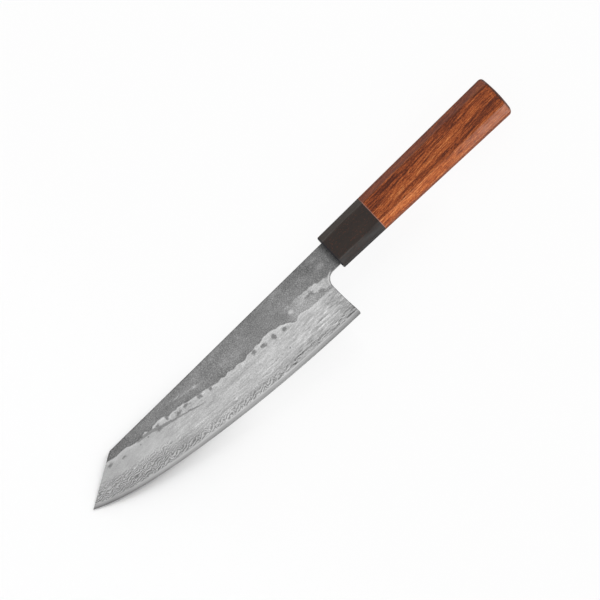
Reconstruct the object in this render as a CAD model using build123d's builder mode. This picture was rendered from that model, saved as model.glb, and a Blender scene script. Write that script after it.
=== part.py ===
from build123d import *
from math import radians, sin, sqrt
import os

# A kiritsuke knife: a laminated blade with a clipped point, set in an octagonal wooden handle.
# The knife lies on its right side. The point looks towards -X, the butt towards +X, the spine
# towards +Y, the cutting edge towards -Y, and the left face of the blade looks up, towards +Z.
# The origin is in the middle of the knife's box, at the level of its lowest point.
# Lengths are millimetres. A reach is a distance from the ferrule's front face towards the point,
# a depth is one from that face towards the butt, and a height is one above the handle's centre
# line, towards the spine. The blade's side view is drawn in reach and height.

# Blade, seen from the side
tip_reach = 201.1
heel_reach = 10.9
edge_drop = 37.4  # lowest stretch of the edge, below the centre line
belly_rise = 24.5  # point of the knife, above that stretch
belly_share = 0.78  # part of the rise that is an even curve; the rest turns up close to the point
belly_turn_power = 10
spine_height = 7.8  # spine where the neck leaves the ferrule
spine_fall = 3.0  # how much lower the spine's line runs at the reach of the point
clip_length = 29.8  # along the knife, from the point back to where the spine's line meets the clip's
clip_corner_radius = 5.0
neck_height = 16.4
choil_reach = 12.0
choil_radius = 6.0
heel_corner_radius = 1.8
heel_corner_turn = 75  # degrees
corner_pass = 0.05  # how far the round corners of clip and heel run past the outline to cross it

# Blade, seen in section
spine_thickness_neck = 3.4
spine_thickness_tip = 0.75
spine_crown = 0.25
grind_thickness_share = 0.95  # thickness at the top of the grind, of that at the spine
grind_height_heel_share = 0.48  # height of the grind, of the height of the blade
grind_height_tip_share = 0.93
grind_rise_power = 1.5  # the top of the grind nears the spine slowly at first
core_thickness_neck = 0.9
core_thickness_tip = 0.4
core_band_height = 2.8  # height of the core that the grind lays bare
micro_bevel_height = 0.56
micro_bevel_thickness = 0.34
edge_land = 0.1
station_shares = (0, 0.06, 0.2, 0.4, 0.6, 0.75, 0.87, 0.95)  # sections, as shares of the reach

# Tang
neck_seat_depth = 6.0  # the neck's full height goes this far into the ferrule
tang_depth = 86.0
tang_height_front = 11.0
tang_height_end = 6.0
tang_thickness_front = 2.9
tang_thickness_end = 2.0
tang_end_radius = 2.0

# Handle, outside
ferrule_length = 32.8
handle_length = 133.5  # ferrule and body together
handle_height_front = 22.0
handle_height_butt = 25.8
handle_thickness_front = 20.0
handle_thickness_butt = 23.0
facet_chamfer_front = 3.9
facet_chamfer_butt = 4.8
ferrule_edge_radius = 0.9
butt_edge_radius = 2.6
butt_dome_height = 1.2

# Handle, inside
dowel_diameter = 14.0
dowel_end_depth = 57.0
dowel_chamfer = 0.8
dowel_slot_height = 11.8
dowel_slot_width = 3.7
tang_hole_diameter = 9.0
tang_end_gap = 2.0  # between the end of the tang and the bottom of its hole
glue_gap = 0.1  # round the dowel and past its rear end
bedding_gap = 0.5  # between the seat of the neck and the dowel's front end
neck_clearance = 0.3  # between the neck and its slot in the ferrule
mouth_seal_depth = 2.5

overrun = 2.0  # how far a cut runs past what it cuts
point_run_on = 1.0  # how far the blank runs past the point before the clip is cut

# Place of the knife in its frame
ferrule_front = (tip_reach - handle_length) / 2
centre_line = (edge_drop - handle_height_butt / 2) / 2
middle = handle_thickness_butt / 2

side_view = Plane(origin=(ferrule_front, centre_line, middle), x_dir=(-1, 0, 0), z_dir=(0, 0, -1))
lengthwise = Plane(origin=(ferrule_front, centre_line, middle), x_dir=(1, 0, 0), z_dir=(0, 0, 1))


def across(depth):
    """The plane square to the knife at a depth, with heights along its x and thickness along its y."""
    return Plane(origin=(ferrule_front + depth, centre_line, middle), x_dir=(0, 1, 0), z_dir=(1, 0, 0))


def towards_tip(at_neck, at_tip, reach):
    """A value that changes evenly from the ferrule's front face to the point."""
    return at_neck + (at_tip - at_neck) * reach / tip_reach


def spine_at(reach):
    """Height of the spine."""
    return spine_height - spine_fall * reach / tip_reach


def edge_at(reach):
    """Height of the cutting edge: nearly level from the heel, then an even belly, then a quick turn up."""
    share = (reach - heel_reach) / (tip_reach - heel_reach)
    rise_share = belly_share * share**2 + (1 - belly_share) * share**belly_turn_power
    return belly_rise * rise_share - edge_drop


def grind_share_at(reach):
    """Height of the grind's top line, as a share of the blade's height there."""
    rise_share = (reach / tip_reach) ** grind_rise_power
    return grind_height_heel_share + (grind_height_tip_share - grind_height_heel_share) * rise_share


def corner_width(height, thickness, facet_chamfer):
    """Width across two opposite corner facets of the handle."""
    return (height + thickness - 2 * facet_chamfer) / sqrt(2)


neck_underside = spine_height - neck_height
neck_middle = spine_height - neck_height / 2
mouth_slot_height = neck_height + 2 * neck_clearance
mouth_slot_width = spine_thickness_neck + 2 * neck_clearance
tang_hole_depth = tang_depth + tang_end_gap
clip_reach = tip_reach - clip_length
clip_corner = Vector(clip_reach, spine_at(clip_reach))
point = Vector(tip_reach, edge_at(tip_reach))
clip_direction = (point - clip_corner).normalized()

# The forged blank in one piece: crowned spine, flats that thin a little, a long convex grind down to
# the core, a small second bevel, all of it thinner towards the point
with BuildPart() as blank:
    for reach in [share * tip_reach for share in station_shares] + [tip_reach + point_run_on]:
        thickness = towards_tip(spine_thickness_neck, spine_thickness_tip, reach)
        core_thickness = towards_tip(core_thickness_neck, core_thickness_tip, reach)
        grind_share = grind_share_at(reach)
        spine = spine_at(reach)
        edge = edge_at(reach)
        spine_corner = Vector(spine - spine_crown, thickness / 2)
        grind_top = Vector(edge + grind_share * (spine - edge), grind_thickness_share * thickness / 2)
        core_line = Vector(edge + core_band_height, core_thickness / 2)
        bevel_top = Vector(edge + micro_bevel_height, micro_bevel_thickness / 2)
        edge_corner = Vector(edge, edge_land / 2)
        with BuildSketch(across(-reach)):
            with BuildLine():
                Line(spine_corner, grind_top)
                ThreePointArc(grind_top, core_line, bevel_top)
                Line(bevel_top, edge_corner)
                mirror(about=Plane.XZ)
                ThreePointArc(spine_corner, (spine, 0), (spine_corner.X, -spine_corner.Y))
                Line(edge_corner, (edge_corner.X, -edge_corner.Y))
            make_face()
    loft()

    # The choil: straight under the neck, a round corner, and a back that runs out to the heel
    with BuildSketch(side_view):
        with BuildLine():
            under_neck = Line((-overrun, neck_underside), (choil_reach - choil_radius, neck_underside))
            corner = JernArc(under_neck @ 1, under_neck % 1, choil_radius, -90)
            heel_top = edge_at(heel_reach) + heel_corner_radius * sin(radians(heel_corner_turn)) - corner_pass
            back = TangentArc(corner @ 1, (heel_reach, heel_top), tangent=corner % 1)
            heel = JernArc(back @ 1, back % 1, heel_corner_radius, heel_corner_turn)
            below = Line(heel @ 1, ((heel @ 1).X, -edge_drop - overrun))
            Polyline(below @ 1, (-overrun, -edge_drop - overrun), under_neck @ 0)
        make_face()
    extrude(amount=spine_thickness_neck, both=True, mode=Mode.SUBTRACT)

    # The clip from the spine down to the point, with a round corner between them
    with BuildSketch(side_view):
        with BuildLine():
            clip_top = clip_corner - clip_direction * (corner_pass / abs(clip_direction.Y))
            above_spine = Vector(clip_reach - clip_corner_radius, clip_top.Y)
            past_point = point + clip_direction * overrun
            cut_height = spine_height + overrun
            FilletPolyline(above_spine, clip_top, past_point, radius=clip_corner_radius)
            Polyline(past_point, (past_point.X, cut_height), (above_spine.X, cut_height), above_spine)
        make_face()
    extrude(amount=spine_thickness_neck, both=True, mode=Mode.SUBTRACT)

    # The neck goes on into the ferrule, and the tang tapers from there in height and thickness
    neck_end = blank.faces().filter_by(Axis.X).sort_by(Axis.X)[-1]
    extrude(neck_end, amount=neck_seat_depth)
    with BuildSketch(across(neck_seat_depth)):
        Rectangle(tang_height_front, tang_thickness_front)
    with BuildSketch(across(tang_depth)):
        Rectangle(tang_height_end, tang_thickness_end)
    loft(ruled=True)
    tang_end_corners = blank.edges().filter_by(Axis.Z).sort_by(Axis.X)[-2:]
    fillet(tang_end_corners, radius=tang_end_radius)

# The seams between the core and its two claddings lean together towards the point
core_lean = (core_thickness_tip - core_thickness_neck) / 2 / tip_reach
left_seam = Plane(
    origin=(ferrule_front, centre_line, middle + core_thickness_neck / 2),
    z_dir=(core_lean, 0, 1),
)
right_seam = Plane(
    origin=(ferrule_front, centre_line, middle - core_thickness_neck / 2),
    z_dir=(-core_lean, 0, 1),
)

os.makedirs("parts", exist_ok=True)

# Hard cutting steel, between the seams
with BuildPart() as core_steel:
    add(blank.part)
    split(bisect_by=left_seam, keep=Keep.BOTTOM)
    split(bisect_by=right_seam, keep=Keep.TOP)
core_steel.part.label = "core_steel"
export_step(core_steel.part, "parts/core_steel.step")

# Soft layered steel on the left face
with BuildPart() as cladding_left:
    add(blank.part)
    split(bisect_by=left_seam, keep=Keep.TOP)
cladding_left.part.label = "cladding_left"
export_step(cladding_left.part, "parts/cladding_left.step")

# Soft layered steel on the right face
with BuildPart() as cladding_right:
    add(blank.part)
    split(bisect_by=right_seam, keep=Keep.BOTTOM)
cladding_right.part.label = "cladding_right"
export_step(cladding_right.part, "parts/cladding_right.step")

# Ferrule and wood are glued up first and planed together, one pair of opposite facets after another,
# so the facets run through in one taper. The butt is slightly domed, and its edges and those of the
# front are rounded over.
corner_width_front = corner_width(handle_height_front, handle_thickness_front, facet_chamfer_front)
corner_width_butt = corner_width(handle_height_butt, handle_thickness_butt, facet_chamfer_butt)
dome_radius = (handle_height_butt**2 / 4 + butt_dome_height**2) / (2 * butt_dome_height)
with BuildPart() as handle_blank:
    for turn, front_width, butt_width, mode in (
        (0, handle_height_front, handle_height_butt, Mode.ADD),
        (90, handle_thickness_front, handle_thickness_butt, Mode.INTERSECT),
        (45, corner_width_front, corner_width_butt, Mode.INTERSECT),
        (-45, corner_width_front, corner_width_butt, Mode.INTERSECT),
    ):
        rim_depth = handle_length - dome_radius + sqrt(dome_radius**2 - butt_width**2 / 4)
        rim_corner = Vector(rim_depth, butt_width / 2)
        opposite_rim_corner = Vector(rim_depth, -butt_width / 2)
        with BuildSketch(lengthwise.rotated((turn, 0, 0))) as outline:
            with BuildLine():
                Polyline(rim_corner, (0, front_width / 2), (0, -front_width / 2), opposite_rim_corner)
                ThreePointArc(rim_corner, (handle_length, 0), opposite_rim_corner)
            make_face()
            fillet(outline.vertices().group_by(Axis.X)[0], radius=ferrule_edge_radius)
            fillet(outline.vertices().group_by(Axis.X)[-1], radius=butt_edge_radius)
        extrude(amount=handle_height_butt, both=True, mode=mode)

# Dark ferrule: the slot for the neck at its mouth opens into the dowel's bore
with BuildPart() as ferrule:
    add(handle_blank.part)
    split(bisect_by=across(ferrule_length), keep=Keep.BOTTOM)
    with BuildSketch(across(0)):
        with Locations((neck_middle, 0)):
            Rectangle(mouth_slot_height, mouth_slot_width)
    extrude(amount=neck_seat_depth, mode=Mode.SUBTRACT)
    with BuildSketch(across(neck_seat_depth)):
        Circle(dowel_diameter / 2 + glue_gap)
    extrude(amount=ferrule_length - neck_seat_depth, mode=Mode.SUBTRACT)
ferrule.part.label = "ferrule"
export_step(ferrule.part, "parts/ferrule.step")

# Wooden body: the dowel's bore, and behind it a narrower hole for the end of the tang
with BuildPart() as handle_body:
    add(handle_blank.part)
    split(bisect_by=across(ferrule_length), keep=Keep.TOP)
    with BuildSketch(across(ferrule_length)):
        Circle(dowel_diameter / 2 + glue_gap)
    extrude(amount=dowel_end_depth + glue_gap - ferrule_length, mode=Mode.SUBTRACT)
    with BuildSketch(across(ferrule_length)):
        Circle(tang_hole_diameter / 2)
    extrude(amount=tang_hole_depth - ferrule_length, mode=Mode.SUBTRACT)
handle_body.part.label = "handle_body"
export_step(handle_body.part, "parts/handle_body.step")

# Dowel across the joint, slotted from end to end for the tang
with BuildPart() as handle_dowel:
    with BuildSketch(across(neck_seat_depth + bedding_gap)):
        Circle(dowel_diameter / 2)
    extrude(amount=dowel_end_depth - neck_seat_depth - bedding_gap)
    end_rims = handle_dowel.edges().filter_by(GeomType.CIRCLE)
    chamfer(end_rims, length=dowel_chamfer)
    with BuildSketch(across(neck_seat_depth)):
        Rectangle(dowel_slot_height, dowel_slot_width)
    extrude(amount=dowel_end_depth - neck_seat_depth, mode=Mode.SUBTRACT)
handle_dowel.part.label = "handle_dowel"
export_step(handle_dowel.part, "parts/handle_dowel.step")

# Cured resin round the tang: in front of the dowel, in its slot, and in the hole behind it
with BuildPart() as tang_resin:
    with BuildSketch(across(neck_seat_depth)):
        Circle(dowel_diameter / 2)
    extrude(amount=bedding_gap)
    with BuildSketch(across(neck_seat_depth)):
        Rectangle(dowel_slot_height, dowel_slot_width)
    extrude(amount=dowel_end_depth + glue_gap - neck_seat_depth)
    with BuildSketch(across(dowel_end_depth + glue_gap)):
        Circle(tang_hole_diameter / 2)
    extrude(amount=tang_hole_depth - dowel_end_depth - glue_gap)
    add(blank.part, mode=Mode.SUBTRACT)
tang_resin.part.label = "tang_resin"
export_step(tang_resin.part, "parts/tang_resin.step")

# Seal in the ferrule's mouth, all round the neck
with BuildPart() as mouth_seal:
    with BuildSketch(across(0)):
        with Locations((neck_middle, 0)):
            Rectangle(mouth_slot_height, mouth_slot_width)
    extrude(amount=mouth_seal_depth)
    add(blank.part, mode=Mode.SUBTRACT)
mouth_seal.part.label = "mouth_seal"
export_step(mouth_seal.part, "parts/mouth_seal.step")
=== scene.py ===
import math

import bpy
import numpy as np
from mathutils import Matrix, Vector


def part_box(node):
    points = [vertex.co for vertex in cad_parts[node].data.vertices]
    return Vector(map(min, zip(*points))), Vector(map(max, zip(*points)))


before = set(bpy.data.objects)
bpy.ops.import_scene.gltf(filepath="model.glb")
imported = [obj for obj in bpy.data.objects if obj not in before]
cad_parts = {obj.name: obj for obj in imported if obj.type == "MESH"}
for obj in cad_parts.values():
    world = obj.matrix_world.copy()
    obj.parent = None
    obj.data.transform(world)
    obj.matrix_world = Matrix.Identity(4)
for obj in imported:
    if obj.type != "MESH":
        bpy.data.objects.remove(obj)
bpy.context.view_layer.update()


# Blade, layered claddings. Two sheets of soft folded steel are forge-welded to a hard core. The smith
# leaves the forge scale on the upper part, grinds the rest down to the core, and etches it, so that the
# folds show as wavy lines between the scale and the edge.
MM = 0.001
ferrule_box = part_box("ferrule")
blade_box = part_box("core_steel")
ferrule_front = ferrule_box[0].x / MM
centre_line = (ferrule_box[0].y + ferrule_box[1].y) / 2 / MM
middle = (ferrule_box[0].z + ferrule_box[1].z) / 2 / MM
# Reach is measured from the front of the ferrule towards the point, height from the handle's centre line
# towards the spine, and side from the middle of the blade's thickness, all in millimetres.
tip_reach = ferrule_front - blade_box[0].x / MM
edge_drop = centre_line - blade_box[0].y / MM
# Wall behind the heel, with its round corner
heel_reach = 10.9
corner_reach = 6.0
corner_height = -14.6
corner_radius = 6.0
back_lean = 0.0025
# Cutting edge, spine and clip
belly_rise = 24.5
belly_share = 0.78
belly_turn_power = 10
spine_height = 7.8
spine_fall = 3.0
clip_rise = 17.7
clip_length = 29.8
full_turn = 2 * math.pi


class Wire:
    """A socket that feeds others. Arithmetic on it adds Math nodes, so a mask is written as a formula."""

    def __init__(self, nodes, socket):
        self.nodes = nodes
        self.socket = socket

    def math(self, operation, first, second=0.0):
        """A Math node on one or two values or wires."""
        return self.nodes.node("Math", {"operation": operation}, {0: first, 1: second})

    def __add__(self, other):
        return self.math("ADD", self, other)

    def __radd__(self, other):
        return self.math("ADD", other, self)

    def __sub__(self, other):
        return self.math("SUBTRACT", self, other)

    def __rsub__(self, other):
        return self.math("SUBTRACT", other, self)

    def __mul__(self, other):
        return self.math("MULTIPLY", self, other)

    def __rmul__(self, other):
        return self.math("MULTIPLY", other, self)

    def __truediv__(self, other):
        return self.math("DIVIDE", self, other)

    def __pow__(self, other):
        return self.math("POWER", self, other)

    def __abs__(self):
        return self.math("ABSOLUTE", self)

    def lower(self, other):
        """The lower of the two."""
        return self.math("MINIMUM", self, other)

    def higher(self, other):
        """The higher of the two."""
        return self.math("MAXIMUM", self, other)

    def sine(self):
        """Sine of an angle in radians."""
        return self.math("SINE", self)

    def step(self, low, high):
        """0 at low and 1 at high, smooth in between and level beyond, with low and high in either order."""
        sockets = {"Value": self, "From Min": low, "From Max": high}
        return self.nodes.node("MapRange", {"interpolation_type": "SMOOTHSTEP"}, sockets)


class Nodes:
    """The nodes of one material or of the surround."""

    def __init__(self, tree):
        self.tree = tree

    def node(self, kind, settings, sockets, output=0):
        """Adds a node with its settings, then its sockets' values or wires, and gives one output."""
        made = self.tree.nodes.new("ShaderNode" + kind)
        for name, value in settings.items():
            if name == "stops":
                ramp = made.color_ramp.elements
                while len(ramp) < len(value):
                    ramp.new(0.5)
                for stop, (position, colour) in zip(ramp, value):
                    stop.position = position
                    stop.color = colour
            elif name == "points":
                curve = made.mapping.curves[0]
                while len(curve.points) < len(value):
                    curve.points.new(0.5, 0.5)
                for point, location in zip(curve.points, value):
                    point.location = location
                    point.handle_type = "AUTO_CLAMPED"
                made.mapping.update()
            else:
                setattr(made, name, value)
        for name, value in sockets.items():
            if isinstance(value, Wire):
                self.tree.links.new(value.socket, made.inputs[name])
            else:
                made.inputs[name].default_value = value
        return Wire(self, made.outputs[output])

    def shown(self):
        """1 for a ray that shows a thing as it is: from the camera, off gloss, or through something clear."""
        camera = self.node("LightPath", {}, {}, "Is Camera Ray")
        gloss = self.node("LightPath", {}, {}, "Is Glossy Ray")
        clear = self.node("LightPath", {}, {}, "Is Transmission Ray")
        return camera.higher(gloss).higher(clear)


class Finish(Nodes):
    """A material in the making: a Principled shader, the place on the knife in millimetres, and patterns."""

    def __init__(self, name):
        self.material = bpy.data.materials.new(name)
        self.material.use_nodes = True
        super().__init__(self.material.node_tree)
        self.shader = self.tree.nodes["Principled BSDF"]
        sockets = {
            "Vector": self.node("TexCoord", {}, {}, "Object"),
            "Scale": (-1 / MM, 1 / MM, 1 / MM),
            "Location": (ferrule_front, -centre_line, -middle),
        }
        self.place = self.node("Mapping", {}, sockets)
        self.reach = self.node("SeparateXYZ", {}, {0: self.place}, "X")
        self.height = self.node("SeparateXYZ", {}, {0: self.place}, "Y")
        self.side = self.node("SeparateXYZ", {}, {0: self.place}, "Z")

    def noise(self, size, stretch=(1, 1, 1), shift=0.0, detail=2.0, rough=0.5, bend=0.0):
        """Noise from about -1 to 1 with lumps of size millimetres, times stretch along each axis."""
        scale = [1 / (size * s) for s in stretch]
        sockets = {"Vector": self.place, "Location": (shift, shift, 0), "Scale": scale}
        spot = self.node("Mapping", {}, sockets)
        sockets = {"Vector": spot, "Scale": 1.0, "Detail": detail, "Roughness": rough, "Distortion": bend}
        return self.node("TexNoise", {}, sockets, "Fac") * 4 - 2

    def blend(self, share, first, second):
        """A colour that goes from first to second as share goes from 0 to 1."""
        return self.node("Mix", {"data_type": "RGBA"}, {0: share, 6: first, 7: second}, 2)

    def line_at(self, points, low=-45.0, high=15.0):
        """Height of a smooth line through (reach, height) points, all between low and high."""
        first = points[0][0]
        length = points[-1][0] - first
        shares = [((reach - first) / length, (height - low) / (high - low)) for reach, height in points]
        share = (self.reach - first) / length
        return self.node("FloatCurve", {"points": shares}, {"Value": share}) * (high - low) + low

    def patch(self, reach, height, half_length, half_height, ragged, soft):
        """1 inside an oval and 0 outside, from the distance to its middle as a share of its half sizes. Its
        outline is shifted by ragged and fades over soft of its size, inwards and outwards."""
        along = (self.reach - reach) / half_length
        across = (self.height - height) / half_height
        away = (along**2 + across**2) ** 0.5 + ragged
        return away.step(1 + soft, 1 - soft)

    def shaded(self, base, places, ragged, soft):
        """Base plus a change in each soft oval, for (reach, height, half length, half height, change)."""
        for *oval, change in places:
            base = base + change * self.patch(*oval, ragged=ragged, soft=soft)
        return base

    def facing(self, axis):
        """How far the surface faces along an axis of the knife's frame, from -1 to 1."""
        return self.node("SeparateXYZ", {}, {0: self.node("TexCoord", {}, {}, "Normal")}, axis)

    def bump(self, relief, distance):
        """A normal from a relief, in which height 1 stands the given number of millimetres proud."""
        return self.node("Bump", {}, {"Strength": 1.0, "Distance": distance * MM, "Height": relief})

    def wear(self, node, **sockets):
        """Joins values or wires to the shader's sockets and puts the material on a node of the frame."""
        for name, value in sockets.items():
            socket = self.shader.inputs[name.replace("_", " ")]
            if isinstance(value, Wire):
                self.tree.links.new(value.socket, socket)
            else:
                socket.default_value = value
        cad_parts[node].data.materials.clear()
        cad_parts[node].data.materials.append(self.material)


def above_edge_on(steel):
    """Height above the cutting edge. The edge rises from the heel with the square of the reach, mixed with a
    high power of it that turns the last part up to the point."""
    share = ((steel.reach - heel_reach) / (tip_reach - heel_reach)).higher(0.0)
    rise = belly_share * share**2 + (1 - belly_share) * share**belly_turn_power
    return steel.height + edge_drop - belly_rise * rise


def below_spine_on(steel):
    """Depth below the outline of spine and clip, which is the lower of two straight lines."""
    spine = spine_height - steel.reach * (spine_fall / tip_reach)
    clip = belly_rise - edge_drop + (tip_reach - steel.reach) * (clip_rise / clip_length)
    return spine.lower(clip) - steel.height


def from_wall_on(steel):
    """Distance into the steel from the wall behind the heel: that from the middle of the round corner, less
    its radius. Below the corner the back leans to the handle with the square of the depth."""
    along = (steel.reach - corner_reach).higher(0.0)
    above = (steel.height - corner_height).higher(0.0)
    below = (corner_height - steel.height).higher(0.0)
    return (along**2 + above**2) ** 0.5 - corner_radius + back_lean * below**2


def grey(level):
    """Base colour of plain grey, from a level of 0 to 255 as a screen shows it."""
    return (level / 255) ** 2.2


# Lower border of the forge scale on each face, as reach and height
border_left = [
    (0.0, -15.6),
    (12.5, -15.6),
    (18.8, -15.2),
    (28.6, -15.0),
    (33.0, -14.4),
    (37.8, -13.6),
    (41.3, -15.0),
    (43.6, -14.2),
    (44.8, -13.0),
    (46.5, -12.1),
    (48.2, -11.3),
    (50.5, -10.4),
    (52.9, -9.8),
    (55.7, -8.9),
    (59.8, -8.6),
    (62.1, -8.6),
    (64.4, -9.4),
    (67.3, -9.3),
    (70.2, -9.4),
    (72.0, -9.7),
    (74.8, -9.5),
    (76.5, -10.1),
    (78.3, -10.9),
    (80.6, -10.4),
    (83.5, -9.7),
    (86.4, -10.1),
    (88.1, -9.5),
    (90.9, -9.2),
    (93.3, -9.8),
    (95.6, -8.9),
    (98.0, -9.2),
    (100.7, -8.6),
    (103.7, -8.2),
    (106.6, -7.5),
    (109.5, -6.9),
    (112.3, -6.6),
    (115.2, -5.7),
    (119.2, -5.2),
    (122.7, -4.2),
    (128.0, -3.7),
    (133.0, -3.6),
    (134.8, -2.0),
    (138.2, -1.6),
    (143.4, -1.7),
    (144.8, -2.9),
    (147.2, -2.6),
    (148.2, -1.1),
    (150.7, -1.1),
    (151.6, -2.4),
    (156.1, -2.0),
    (160.2, -0.9),
    (163.1, 0.0),
    (167.1, 0.35),
    (171.1, 0.35),
    (174.6, 1.2),
    (201.1, 4.0),
]
border_right = [
    (0.0, -13.4),
    (14.0, -13.6),
    (22.0, -12.2),
    (29.0, -13.1),
    (34.5, -11.4),
    (41.0, -12.0),
    (46.0, -9.9),
    (52.0, -10.6),
    (58.5, -8.3),
    (64.0, -9.0),
    (69.5, -7.6),
    (77.0, -8.8),
    (82.5, -9.7),
    (88.0, -8.1),
    (95.5, -7.0),
    (101.0, -7.9),
    (108.0, -5.6),
    (115.5, -6.1),
    (121.0, -4.4),
    (129.5, -4.9),
    (136.0, -2.7),
    (143.5, -3.3),
    (150.0, -1.4),
    (158.5, -1.9),
    (165.0, 0.2),
    (173.5, 0.6),
    (201.1, 3.5),
]
# Spots where scale stayed in a hollow, as reach, height, half length and half height
pits_left = [
    (176.9, -1.3, 1.5, 0.9),
    (167.4, -3.2, 1.4, 0.6),
    (155.6, -4.6, 0.45, 0.4),
    (149.2, -4.4, 0.6, 0.3),
    (141.2, -3.5, 1.3, 0.8),
    (141.5, -5.2, 2.2, 1.2),
    (134.0, -3.7, 1.0, 1.2),
    (127.3, -6.6, 2.0, 1.6),
    (120.6, -6.2, 1.9, 1.0),
    (111.4, -7.6, 1.5, 1.3),
    (104.2, -9.1, 1.1, 1.0),
    (71.5, -11.0, 1.4, 1.4),
    (64.6, -12.0, 1.8, 1.1),
    (56.9, -12.2, 1.3, 1.5),
    (49.6, -13.5, 1.1, 1.0),
    (24.3, -9.2, 1.2, 1.3),
    (19.0, -12.3, 1.3, 1.3),
    (54.6, -23.6, 0.5, 0.35),
]
pits_right = [
    (171.0, -1.6, 1.3, 0.8),
    (160.5, -4.4, 0.9, 0.7),
    (139.0, -5.9, 1.6, 0.9),
    (124.0, -7.3, 1.2, 1.0),
    (104.5, -8.4, 1.4, 1.0),
    (90.0, -10.9, 1.0, 1.1),
    (73.5, -11.0, 1.6, 0.8),
    (53.0, -13.2, 1.2, 1.2),
    (37.5, -14.8, 1.4, 0.8),
    (25.0, -15.6, 0.9, 0.9),
]
# Lighter and darker scuffs on the scale, as reach, height, half length, half height and change of grey
scuffs_left = [
    (125.8, 1.9, 2.4, 0.4, 12),
    (122.0, 0.8, 2.6, 0.45, 26),
    (117.8, -0.4, 2.6, 0.45, 26),
    (113.6, -1.0, 2.2, 0.5, 18),
    (110.2, -1.8, 1.7, 0.9, 34),
    (106.8, -2.5, 1.8, 0.5, 18),
    (84.0, -3.0, 9.0, 3.5, 10),
    (61.0, 5.0, 8.0, 3.4, -9),
    (24.0, 4.5, 10.0, 3.0, -10),
    (23.2, -9.3, 1.2, 1.1, -26),
    (18.3, -12.4, 1.4, 1.3, -22),
    (9.5, -1.4, 2.6, 1.4, 22),
    (10.5, 4.8, 3.0, 1.4, 12),
    (17.0, 1.5, 3.0, 2.2, -8),
]
scuffs_right = [
    (150.0, 1.6, 4.0, 0.5, 18),
    (96.0, 0.5, 7.0, 2.6, 10),
    (70.0, 3.6, 6.0, 2.2, -9),
    (45.0, -1.0, 5.0, 0.7, 16),
    (20.0, 2.0, 7.0, 3.0, -10),
]
# Crack in the scale that runs on below the border, and the two sides of a ground patch near the heel
crack_left = [
    (108.0, -13.3),
    (110.6, -12.8),
    (115.2, -11.8),
    (120.9, -10.1),
    (125.6, -8.9),
    (129.6, -8.0),
    (133.6, -6.9),
    (138.2, -5.7),
    (141.7, -4.8),
    (144.0, -3.8),
    (150.9, -2.5),
    (156.1, -1.9),
]
patch_top = [
    (9.0, -8.4),
    (11.3, -8.9),
    (14.0, -7.7),
    (17.1, -7.8),
    (18.8, -6.8),
    (20.6, -6.5),
    (24.0, -6.0),
    (28.6, -5.7),
    (37.0, -5.4),
    (47.0, -4.6),
]
patch_bottom = [
    (9.0, -14.0),
    (12.0, -13.4),
    (17.7, -12.7),
    (20.6, -11.6),
    (22.9, -10.2),
    (24.6, -9.0),
    (27.0, -8.3),
    (30.0, -9.2),
    (32.1, -9.8),
    (35.5, -8.6),
    (41.0, -7.4),
    (47.0, -7.2),
]
# Paler and darker places in the etched zone, as reach, height, half length, half height and change of grey
etched_clouds = [
    (58.0, -15.0, 22.0, 7.0, 8),
]
etched_streaks = [
    (86.0, -15.0, 19.0, 0.9, -15),
    (84.0, -17.2, 22.0, 0.9, 8),
]
# Widths of the folds across the blade, and lengths of their waves along it, in millimetres
fold_period = 1.9
curl_period = 2.0
hook_period = 1.5
arch_pitch = 6.5
hook_pitch = 6.2
# Greys, as levels from 0 to 255
etched_grey = 168
scale_grey = 121
hollow_grey = 108
bare_grey = 178
wall_grey = 168

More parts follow.
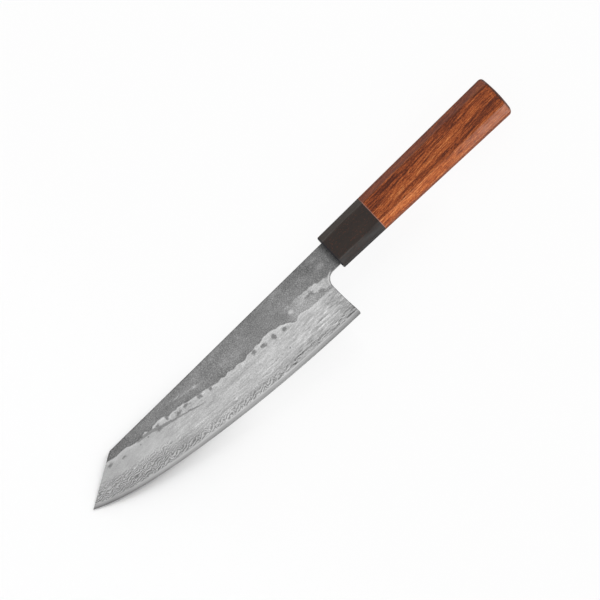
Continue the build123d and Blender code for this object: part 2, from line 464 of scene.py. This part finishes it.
for face, node, border, pits, scuffs, shift in (
    ("left", "cladding_left", border_left, pits_left, scuffs_left, 0.0),
    ("right", "cladding_right", border_right, pits_right, scuffs_right, 31.0),
):
    steel = Finish("layered_steel_" + face)
    above_edge = above_edge_on(steel)
    below_spine = below_spine_on(steel)
    from_wall = from_wall_on(steel)
    clouds = steel.noise(7.0, stretch=(1.8, 1, 1), shift=shift, detail=3.0)
    ragged = steel.noise(2.2, shift=shift + 3, detail=3.0)
    grain = steel.noise(0.7, shift=shift + 5, detail=1.5, rough=0.6)
    pores = steel.noise(0.42, shift=shift + 7, detail=0.0)
    dashes = steel.noise(0.95, stretch=(5.5, 1, 1), shift=shift + 17, detail=2.0).step(0.0, 0.7)
    streaks = steel.noise(1.0, stretch=(6, 1, 1), shift=shift + 19, detail=3.0)
    lenses = steel.noise(1.25, stretch=(6, 1, 1), shift=shift + 37, detail=2.0)

    # Where the scale is, with a ragged border, and the rim just below it, which is given a painted highlight
    above_border = steel.height - steel.line_at(border) + ragged * 0.42 + grain * 0.25
    scale = above_border.step(-0.35, 0.3)
    rim = above_border.step(-2.6, -0.4) * (1 - scale)

    # Where spots of scale stayed in hollows, and on the left face in a crack too
    pit = 0.0
    for oval in pits:
        pit = steel.patch(*oval, ragged=ragged * 0.6 + grain * 0.25, soft=0.6).higher(pit)
    if face == "left":
        crack = abs(steel.height - steel.line_at(crack_left) + ragged * 0.3 + grain * 0.2)
        wider_to_tip = 0.45 * steel.reach.step(126.0, 140.0)
        crack = (crack - wider_to_tip).step(0.75, 0.2)
        crack = crack * steel.reach.step(108.0, 118.0) * steel.reach.step(157.5, 155.0)
        pit = pit.higher(crack * 0.85)

    # Where the scale is ground off again, on the left face only, and where it is thin
    ground = 0.0
    if face == "left":
        below_top = steel.line_at(patch_top) - steel.height + ragged * 0.5
        above_bottom = steel.height - steel.line_at(patch_bottom) + ragged * 0.6
        fainter_to_tip = 0.35 + 0.65 * steel.reach.step(38.0, 22.0)
        broken_up = (0.75 + 0.5 * ragged + 0.3 * clouds).step(0.0, 0.8)
        ground = below_top.step(-0.5, 0.4) * above_bottom.step(-0.6, 0.5)
        ground = ground * fainter_to_tip * steel.reach.step(47.0, 40.0) * steel.reach.step(8.6, 10.4)
        ground = ground * broken_up
        ground = ground.higher(steel.patch(40.3, -8.9, 1.5, 1.1, ragged=ragged * 0.5, soft=0.7))
        thin = above_border.step(6.2, 5.0) * steel.reach.step(46.0, 38.0)
    else:
        thin = above_border.step(3.0, 1.5) * steel.reach.step(40.0, 30.0)

    # Where the folds change: towards the point, next to the core, in the curls there, and where they break
    near_tip = steel.reach.step(125.0, 150.0)
    near_core = above_edge.step(8.5, 5.0) * above_edge.step(2.9, 3.4) * steel.reach.step(162.0, 138.0)
    curl_zone = near_core * steel.reach.step(55.0, 80.0)
    broken = steel.noise(2.4, stretch=(3.2, 1, 1), shift=shift + 23, detail=2.0).step(-0.6, 0.5)

    # How the folds run: even lines at the heel, arches next to the core, and hooks towards the point
    swell = steel.noise(2.9, stretch=(1.3, 0.8, 1), shift=shift + 11, detail=1.5)
    drift = steel.noise(13.0, stretch=(2.2, 1, 1), shift=shift + 13, detail=2.0)
    curl = steel.noise(4.6, stretch=(1.4, 0.8, 1), shift=shift + 43, detail=1.5)
    ripple = steel.noise(1.1, stretch=(1.4, 1, 1), shift=shift + 29, detail=1.0)
    arch = abs((steel.reach * (full_turn / 2 / arch_pitch) + swell * 0.5).sine())
    swell_size = 0.06 + 0.9 * steel.reach.step(45.0, 85.0) * above_edge.step(12.0, 6.0) * (1 - near_tip)
    fold = above_edge / fold_period + swell * swell_size + drift * 0.6 - arch * near_core * 0.5 + ripple * 0.1
    folds = (fold * full_turn).sine() * 0.6 + (fold * (1.9 * full_turn) + 1.0).sine() * 0.4
    turn = (steel.reach + swell * 1.5 + above_edge * 0.3) * (full_turn / hook_pitch)
    hook = turn.sine() + (turn * 2).sine() * 0.4
    curls = ((above_edge / curl_period - hook * 0.55 + curl * 0.25) * full_turn).sine()
    hooks = above_edge / hook_period - hook * (0.55 + 0.25 * curl) + curl * 0.5 + drift * 0.5 + ripple * 0.08
    hooks = (hooks * full_turn).sine() * (1 + 0.4 * ripple)
    folds = folds + (hooks - folds) * near_tip
    # They end below the scale, and are etched deepest next to the core, in dashes at the heel
    fold_top = above_edge + drift * 0.7 + 2.0 * steel.reach.step(160.0, 190.0)
    fold_zone = fold_top.step(16.0, 11.5) * broken.higher(near_tip * 0.65)
    whole = 1 - 0.75 * steel.reach.step(85.0, 55.0) * (1 - dashes)
    depth_of_etch = 20 + 16 * near_tip + 35 * near_core * whole

    # Grey of the etched zone: cloudy and streaked, with a painted highlight at its rim, and darker low down
    calm = near_tip.higher(curl_zone * 0.9)
    light = etched_grey + 7 * clouds + (15 - 9 * calm) * streaks
    light = light + (15 - 8 * calm) * grain + (10 - 6 * calm) * pores
    # Painted highlight on the rim just below the scale, where the grind hollows
    light = light + rim * 16 * (0.7 + 0.5 * ragged)
    light = light - 21 * above_edge.step(12.0, 5.0) * (1 - 0.5 * near_tip)
    # Pale and dark lenses near the heel, and single places
    near_heel = steel.reach.step(62.0, 34.0) * above_edge.step(4.0, 6.0) * above_border.step(-1.0, -3.0)
    light = light + near_heel * (8 * streaks - 20 * lenses.step(0.2, 0.65) + 18 * lenses.step(-0.3, -0.7))
    light = steel.shaded(light, etched_clouds, ragged * 0.3, 0.8)
    light = steel.shaded(light, etched_streaks, ragged * 0.4, 0.8)
    # Darker towards the point, low down and then higher up
    light = light - 19 * steel.reach.step(118.0, 148.0) * above_edge.step(15.0, 9.0)
    light = light - 7 * steel.reach.step(150.0, 175.0) * above_edge.step(9.0, 11.0)
    # The folds and curls, the darker heel, dark dashes next to the core, and the bright line along it
    light = light + folds * fold_zone * depth_of_etch * (1 - 0.9 * curl_zone)
    light = light + curls * curl_zone * 30
    light = light - 16 * steel.reach.step(25.0, 12.0)
    light = light - near_core * (dashes * 52 * steel.reach.step(105.0, 60.0) - 3)
    light = light + 22 * above_edge.step(3.3, 2.9) * (1 - 0.7 * near_tip)

    # Grey of the scale: grainy, darker at its border, towards the point and at the neck, pale where thin
    dark = scale_grey + 8 * clouds + 19 * grain + 14 * pores + 6 * ragged
    dark = dark - 13 * steel.reach.step(135.0, 165.0)
    dark = dark - 8 * above_border.step(1.5, 0.2) + 24 * thin
    dark = dark - 10 * steel.reach.step(30.0, 8.0) * (1 + clouds)
    # The ground patch shows the etched steel, a little paler
    dark = dark + (light + 9 - dark) * ground
    dark = steel.shaded(dark, scuffs, ragged * 0.3, 0.8)
    # Painted shade at the mouth of the ferrule, and a thin line of painted shade along the spine
    dark = dark - 24 * steel.reach.step(3.8, 0.6) - 16 * below_spine.step(1.0, 0.3)

    # Both together, with the hollows wherever the steel is bare
    level = light + (dark - light) * scale
    level = level + (hollow_grey + 8 * grain - level) * pit * (1 - scale * (1 - ground)) * 0.8
    # The wall behind the heel has a filed rim, which ends in a thin line of painted shade at the wall's edge
    bare_rim = from_wall.step(1.5, 1.1) * from_wall.step(0.3, 0.6)
    bare_rim = bare_rim * steel.reach.step(6.5, 8.5) * steel.height.step(-15.0, -12.5)
    level = level + (bare_grey + 6 * grain - level) * bare_rim * 0.85
    # A thin line of painted shade along the edge of the wall
    level = level - 34 * from_wall.step(0.55, 0.2) * steel.height.step(-9.0, -11.0)
    # Surfaces that face the side of the edge, such as that wall, are plain ground steel
    level = level + (wall_grey - level) * steel.facing("Y").step(-0.3, -0.8)

    # Scale stands a little proud and is grainy, the folds are etched, and the hollows are sunk
    relief = scale * (1 - ground) + (grain * 0.3 + pores * 0.2) * scale + folds * fold_zone * 0.12 - pit * 0.6
    steel.wear(
        node,
        Base_Color=grey(level),
        Metallic=0.85,
        Roughness=0.42 + 0.2 * scale + 0.05 * folds * fold_zone,
        Normal=steel.bump(relief, 0.03),
    )


# Blade, core. One slab of hard steel runs through the middle of blade and tang. The grind lays it bare as
# a smooth band along the edge, with a small second bevel below.
core_grey = 145
core = Finish("core_steel")
above_edge = above_edge_on(core)
lines = core.noise(0.3, stretch=(60, 1, 1), detail=2.0)
clouds = core.noise(6.0, stretch=(3, 1, 1), detail=2.0)
# A bright line below the claddings, which comes down a little and fades towards the point
from_line = above_edge + 0.6 * core.reach.step(95.0, 150.0)
line_light = 21 - 10 * core.reach.step(130.0, 165.0)
level = core_grey + 4 * lines + 5 * clouds + line_light * from_line.step(2.1, 2.6)
# Darker on the second bevel along the very edge, and paler above it
level = level - 37 * above_edge.step(1.0, 0.4)
level = level + 8 * above_edge.step(0.9, 1.9)
# Darker at the point and at the heel
level = level - 12 * core.reach.step(150.0, 190.0)
level = level - 12 * core.reach.step(62.0, 35.0) - 14 * core.reach.step(20.0, 12.0)
core.wear(
    "core_steel",
    Base_Color=grey(level),
    Metallic=0.9,
    Roughness=0.34 + 0.03 * lines,
    Normal=core.bump(lines, 0.003),
)


# Ferrule. A near-black wooden collar at the front of the handle, with a slot for the neck of the blade. It
# is glued to the body over a dowel, and both are planed to eight facets together and oiled.
handle_length = 133.5
ferrule_length = 32.8
# Octagon at the front of the ferrule and at the butt
half_height_front = 11.0
half_height_butt = 12.9
half_thickness_front = 10.0
half_thickness_butt = 11.5
chamfer_front = 3.9
chamfer_butt = 4.8


def paint(red, green, blue):
    """A colour as a screen shows it, from 0 to 255 a channel, as the values that light works with."""
    return (*((np.array([red, green, blue]) / 255) ** 2.2), 1)


def near_facet_edge(wood):
    """Distance in millimetres to the nearest long edge: the middle one of the distances to three facets."""
    share = wood.reach / -handle_length
    half_height = half_height_front + share * (half_height_butt - half_height_front)
    half_thickness = half_thickness_front + share * (half_thickness_butt - half_thickness_front)
    chamfer = chamfer_front + share * (chamfer_butt - chamfer_front)
    to_side = half_thickness - abs(wood.side)
    to_top = half_height - abs(wood.height)
    to_slant = (to_side + to_top - chamfer) / math.sqrt(2)
    return to_side.lower(to_top).higher(to_side.higher(to_top).lower(to_slant))


def slanted_facets(wood):
    """1 on each of the two slanted facets of the left side, and 0 elsewhere, from how far the surface faces
    up and to one side: first the facet towards the edge, then the one towards the spine."""
    up = wood.facing("Z").step(0.3, 0.5)
    return wood.facing("Y").step(-0.3, -0.5) * up, wood.facing("Y").step(0.3, 0.5) * up


def underside_facet(wood):
    """1 on the facet that faces straight to the side of the edge, which is underneath in use."""
    return wood.facing("Y").step(-0.8, -0.95)


near_black = paint(26, 20, 17)
brown_black = paint(40, 30, 24)
speck_brown = paint(84, 46, 30)
painted_sheen_lower = paint(60, 60, 60)
painted_sheen_upper = paint(78, 70, 64)
edge_highlight_grey = paint(104, 100, 96)
shaded_grey = paint(36, 34, 33)
front_shade_black = paint(26, 24, 30)
underside_shade_black = paint(14, 13, 14)

collar = Finish("ferrule_wood")
edge = near_facet_edge(collar)
lower_facet, upper_facet = slanted_facets(collar)
underside = underside_facet(collar)
mottle = collar.noise(4.0, stretch=(3, 1, 1), detail=3.0)
fibres = collar.noise(0.9, stretch=(14, 1, 1), shift=3.0, detail=3.0)
specks = collar.noise(0.45, stretch=(2.5, 1, 1), shift=5.0, detail=1.0).step(0.4, 0.75)
# Uneven strength of the painted sheen and of the painted edge highlight
highlight_noise = collar.noise(3.0, stretch=(5, 1, 1), shift=9.0, detail=3.0)
colour = collar.blend(0.5 + 0.3 * mottle + 0.2 * fibres, near_black, brown_black)
colour = collar.blend(specks * 0.5, colour, speck_brown)
# Painted sheen on the slanted facets, a painted highlight along the long edges, and painted shade on the
# lower part of the slants
colour = collar.blend(lower_facet * (0.4 + 0.3 * highlight_noise), colour, painted_sheen_lower)
colour = collar.blend(upper_facet * 0.7, colour, painted_sheen_upper)
colour = collar.blend(edge.step(0.6, 0.1) * (0.12 + 0.2 * highlight_noise), colour, edge_highlight_grey)
slant_foot = (upper_facet + lower_facet) * collar.side.step(7.3, 6.5)
colour = collar.blend(slant_foot * 0.35, colour, shaded_grey)
# Painted shade on the front end, where the blade goes in, and on the underside
colour = collar.blend(collar.reach.step(-1.4, -0.3), colour, front_shade_black)
colour = collar.blend(underside * 0.8, colour, underside_shade_black)
collar.wear(
    "ferrule",
    Base_Color=colour,
    Roughness=0.45 + 0.06 * mottle + 0.45 * underside,
    Specular_IOR_Level=0.3,
    Normal=collar.bump(fibres, 0.01),
)


# Handle body. One block of rosewood with eight facets, glued to the ferrule and tapered towards it. The
# butt is slightly domed and shows the end grain.

# Middle of the growth rings, below and beside the handle, and the distance from ring to ring
ring_drop = 24.0
ring_side = 17.0
ring_period = 3.1
# Middle of the lightest band of grain on the left side, as reach and height
light_band = [
    (-133.5, -1.2),
    (-118.5, -0.4),
    (-107.0, 0.5),
    (-97.2, -0.7),
    (-87.4, -1.6),
    (-77.5, -2.6),
    (-67.7, -2.6),
    (-48.1, -3.3),
    (-34.9, -4.5),
    (-32.8, -4.6),
]
# Dark streaks of grain, as reach, height, half length, half height and change of tone
dark_streaks = [
    (-52.0, 5.0, 11.0, 1.3, -0.30),
    (-124.0, -3.6, 15.0, 2.4, -0.26),
    (-100.0, -5.6, 26.0, 1.6, -0.14),
    (-122.0, 7.6, 14.0, 0.8, -0.22),
    (-42.0, -10.4, 13.0, 1.1, -0.12),
    (-80.0, 5.6, 17.0, 2.4, -0.12),
]
# Colours of the wood, from its darkest to its palest tone
wood_tones = [
    (0.0, paint(70, 30, 14)),
    (0.25, paint(100, 47, 22)),
    (0.45, paint(138, 68, 35)),
    (0.65, paint(162, 85, 45)),
    (0.85, paint(190, 109, 58)),
    (1.0, paint(208, 132, 80)),
]
vessel_brown = paint(66, 28, 14)
painted_sheen_upper = paint(168, 108, 96)
painted_sheen_lower = paint(164, 120, 104)
edge_highlight_brown = paint(206, 140, 96)
joint_pink = paint(160, 122, 112)
butt_edge_shade = paint(40, 32, 30)
underside_shade_brown = paint(76, 46, 34)
shaded_brown = paint(70, 44, 36)
late_wood = paint(62, 33, 22)
early_wood = paint(112, 60, 36)
pore_brown = paint(40, 22, 16)

wood = Finish("handle_wood")
edge = near_facet_edge(wood)
depth = wood.reach * -1
# The grain runs a little aslant and in slow waves, so the place is shifted before the figure is drawn
wave = wood.noise(9.0, stretch=(2, 1, 1), shift=23.0, detail=1.0) * 0.5
wave = wave + wood.noise(3.0, stretch=(3, 1, 1), shift=29.0) * 0.14
offset = wood.node("CombineXYZ", {}, {"Y": wave + wood.reach * 0.07})
wood.place = wood.node("VectorMath", {"operation": "ADD"}, {0: wood.place, 1: offset})
broad = wood.noise(6.0, stretch=(9, 1, 1), shift=2.0, detail=2.0)
bands = wood.noise(2.6, stretch=(14, 1, 1), shift=7.0, detail=3.0, bend=0.3)
streaks = wood.noise(0.7, stretch=(26, 1, 1), shift=11.0, detail=3.0, rough=0.65, bend=0.2)
fibres = wood.noise(0.42, stretch=(24, 1, 1), shift=19.0, detail=2.0, bend=0.15)
curl = wood.noise(1.1, stretch=(5, 1, 1), shift=13.0, detail=2.0)
threads = abs(wood.noise(1.7, stretch=(16, 1, 1), shift=41.0, detail=2.0)).step(0.16, 0.0)
vessels = wood.noise(0.38, stretch=(11, 1, 1), shift=17.0, detail=1.0).step(0.3, 0.7)
specks = wood.noise(0.42, stretch=(2.5, 1, 1), shift=43.0, detail=1.0)
lower_facet, upper_facet = slanted_facets(wood)
underside = underside_facet(wood)

# Tone of the grain, from 0 to 1: the fine figure, then the pale band, the dark streaks, and the facet towards
# the edge painted lighter
figure = 0.12 * broad + 0.2 * bands + 0.26 * streaks + 0.38 * fibres
figure = figure + 0.08 * curl - 0.16 * threads + 0.26 * specks
tone = 0.46 + figure * (1 - 0.1 * lower_facet - 0.1 * upper_facet)
from_band = abs(wood.height - wood.line_at(light_band, low=-10.0, high=10.0) + 0.8 * bands)
tone = tone + 0.2 * from_band.step(3.4, 0.6) * depth.step(128.0, 100.0)
tone = wood.shaded(tone, dark_streaks, bands * 0.25, 0.7)
tone = tone - 0.1 * wood.height.step(3.2, 6.4) * (1 - upper_facet)
# Painted light on the slanted facet towards the edge, strongest near the ferrule
tone = tone + (0.28 - 0.14 * depth.step(62.0, 90.0)) * lower_facet
colour = wood.node("ValToRGB", {"stops": wood_tones}, {0: tone})
colour = wood.blend(vessels * 0.45, colour, vessel_brown)

# Painted sheen on the slanted facets, and a painted highlight along the long edges
colour = wood.blend(upper_facet * (0.3 - 0.08 * depth.step(60.0, 100.0)), colour, painted_sheen_upper)
# Painted sheen on the facet towards the edge, near the butt
end_sheen = lower_facet * depth.step(78.0, 120.0) * (0.42 + 0.3 * curl)
colour = wood.blend(end_sheen, colour, painted_sheen_lower)
colour = wood.blend(edge.step(0.5, 0.1) * (0.1 + 0.12 * bands), colour, edge_highlight_brown)
# Pale line at the joint with the ferrule, and a dark line of painted shade on the rounded edge round the butt
colour = wood.blend((depth - ferrule_length).step(0.7, 0.2) * 0.6, colour, joint_pink)
colour = wood.blend((handle_length - depth).step(2.4, 1.2) * 0.85, colour, butt_edge_shade)
# Painted shade on the facet that faces the side of the edge, and on the lower part of the slant towards the
# spine
colour = wood.blend(underside * 0.25, colour, underside_shade_brown)
colour = wood.blend(upper_facet * wood.side.step(7.8, 6.8) * 0.35, colour, shaded_brown)

# End grain on the butt: rings of two widths round the middle of the tree, with pores
from_pith = ((wood.height + ring_drop) ** 2 + (wood.side + ring_side) ** 2) ** 0.5
ring = from_pith + wood.noise(5.0, shift=31.0) * 0.5
rings = (ring * (full_turn / ring_period)).sine() * 0.5
rings = rings + (ring * (2.7 * full_turn / ring_period)).sine() * 0.5
end_pores = wood.noise(0.5, shift=37.0, detail=1.0).step(0.2, 0.7)
end_grain = wood.blend(0.5 + 0.4 * rings + 0.3 * broad, late_wood, early_wood)
end_grain = wood.blend(end_pores * 0.5, end_grain, pore_brown)
colour = wood.blend(wood.facing("X").step(0.75, 0.92), colour, end_grain)
wood.wear(
    "handle_body",
    Base_Color=colour,
    Roughness=0.55 + 0.08 * streaks + 0.35 * underside,
    Specular_IOR_Level=0.22,
    Normal=wood.bump(streaks * 0.5 - vessels, 0.015),
)


# Inside the handle: a turned dowel across the joint, the cured resin round the tang, and the dark seal
# that closes the slot round the neck.
for name, node, size, stretch, detail, darker, lighter, roughness in (
    ("dowel_wood", "handle_dowel", 1.2, (14, 1, 1), 3.0, (190, 160, 115), (214, 188, 146), 0.6),
    ("tang_resin", "tang_resin", 4.0, (1, 1, 1), 2.0, (150, 120, 70), (176, 146, 92), 0.2),
    ("mouth_seal", "mouth_seal", 1.0, (1, 1, 1), 2.0, (30, 29, 28), (48, 46, 44), 0.55),
):
    hidden = Finish(name)
    cloud = hidden.noise(size, stretch=stretch, detail=detail)
    colour = hidden.blend(cloud * 0.5 + 0.5, paint(*darker), paint(*lighter))
    hidden.wear(node, Base_Color=colour, Roughness=roughness)


# Floor. The knife lies on its right side, on the point and on the front edge of the ferrule, so the
# pale paper runs through both. The paper is brightest round the handle.

# In metres: half the paper's width, its gap below the knife, and the part behind the point left out
floor_half = 6.0
floor_gap = 0.0002
clear_of_tip = 0.01
paper_white = 0.97
paper_glow = 0.985
corners = np.concatenate([np.array([v.co for v in node.data.vertices]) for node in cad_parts.values()])
tip = corners[np.argmin(corners[:, 0])]
behind = corners[corners[:, 0] > tip[0] + clear_of_tip]
floor_slope = np.min((behind[:, 2] - tip[2]) / (behind[:, 0] - tip[0]))
floor_corners = [
    (x, y, tip[2] + floor_slope * (x - tip[0]) - floor_gap)
    for x, y in np.array([(-1, -1), (1, -1), (1, 1), (-1, 1)]) * floor_half
]
floor_mesh = bpy.data.meshes.new("floor")
floor_mesh.from_pydata(floor_corners, [], [(0, 1, 2, 3)])
floor = bpy.data.objects.new("floor", floor_mesh)
bpy.context.scene.collection.objects.link(floor)
paper = Finish("paper")
paper.shader.inputs["Base Color"].default_value = (paper_white, paper_white, paper_white, 1)
paper.shader.inputs["Roughness"].default_value = 0.9
paper.shader.inputs["Specular IOR Level"].default_value = 0.0
glow = paper.node("Emission", {}, {"Strength": paper_glow})
# The glow is faint round the point and strong from the middle of the blade back
share = (0.12 + 0.76 * paper.reach.step(178.0, 80.0)) * paper.shown()
surface = paper.node("MixShader", {}, {0: share, 1: Wire(paper, paper.shader.outputs[0]), 2: glow})
paper.tree.links.new(surface.socket, paper.tree.nodes["Material Output"].inputs["Surface"])
floor_mesh.materials.append(paper.material)


# Light. A white surround, a large soft lamp on the side of the edge for the knife, and two low ones for
# the floor, on the side of the spine and behind the butt, in which only the blade casts a shadow.
ambient = 0.4
world = bpy.data.worlds.new("studio")
world.use_nodes = True
bpy.context.scene.world = world
sky = Nodes(world.node_tree)
strength = ambient + (1 - ambient) * sky.shown()
background = world.node_tree.nodes["Background"]
background.inputs["Color"].default_value = (1, 1, 1, 1)
sky.tree.links.new(strength.socket, background.inputs["Strength"])


def lamp(name, direction, spread, level):
    """A far soft lamp, spread degrees wide in the sky, that lights paper lying flat to the given level."""
    data = bpy.data.lights.new(name, "SUN")
    data.angle = math.radians(spread)
    towards = Vector(direction).normalized()
    data.energy = level * math.pi / towards.z
    lamp_object = bpy.data.objects.new(name, data)
    lamp_object.rotation_mode = "QUATERNION"
    lamp_object.rotation_quaternion = (-towards).to_track_quat("-Z", "Y")
    bpy.context.scene.collection.objects.link(lamp_object)
    return lamp_object


key = lamp("key_lamp", direction=(0.15, -0.64, 0.77), spread=35.0, level=0.6)
floor_lamps = (
    lamp("floor_lamp_spine", direction=(0.45, 0.5, 0.08), spread=46.0, level=0.225),
    lamp("floor_lamp_butt", direction=(0.8, 0.06, 0.09), spread=46.0, level=0.17),
)
knife_only = bpy.data.collections.new("knife")
floor_only = bpy.data.collections.new("floor")
blade_only = bpy.data.collections.new("blade")
for name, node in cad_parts.items():
    knife_only.objects.link(node)
    if name in ("core_steel", "cladding_left", "cladding_right"):
        blade_only.objects.link(node)
floor_only.objects.link(floor)
key.light_linking.receiver_collection = knife_only
for floor_lamp in floor_lamps:
    floor_lamp.light_linking.receiver_collection = floor_only
    floor_lamp.light_linking.blocker_collection = blade_only


# Camera. It looks down on the left face from the side of the edge, six degrees off the plumb line, and
# is rolled so that the knife runs from the lower left to the upper right.
frame_width = 346.2 * MM
lens = 350.0
sensor_width = 36.0
elevation = math.radians(84.0)
roll = math.radians(43.6)
aim = Vector((2.35, 4.77, middle)) * MM
camera_data = bpy.data.cameras.new("camera")
camera_data.lens = lens
camera_data.sensor_width = sensor_width
camera = bpy.data.objects.new("camera", camera_data)
bpy.context.scene.collection.objects.link(camera)
back = Vector((0, -math.cos(elevation), math.sin(elevation)))
level_up = Vector((0, math.sin(elevation), math.cos(elevation)))
right = Vector((1, 0, 0)) * math.cos(roll) - level_up * math.sin(roll)
up = Vector((1, 0, 0)) * math.sin(roll) + level_up * math.cos(roll)
camera.rotation_mode = "QUATERNION"
camera.rotation_quaternion = Matrix((right, up, back)).transposed().to_quaternion()
camera.location = aim + back * (frame_width * lens / sensor_width)
bpy.context.scene.camera = camera
bpy.context.scene.view_settings.view_transform = "Standard"
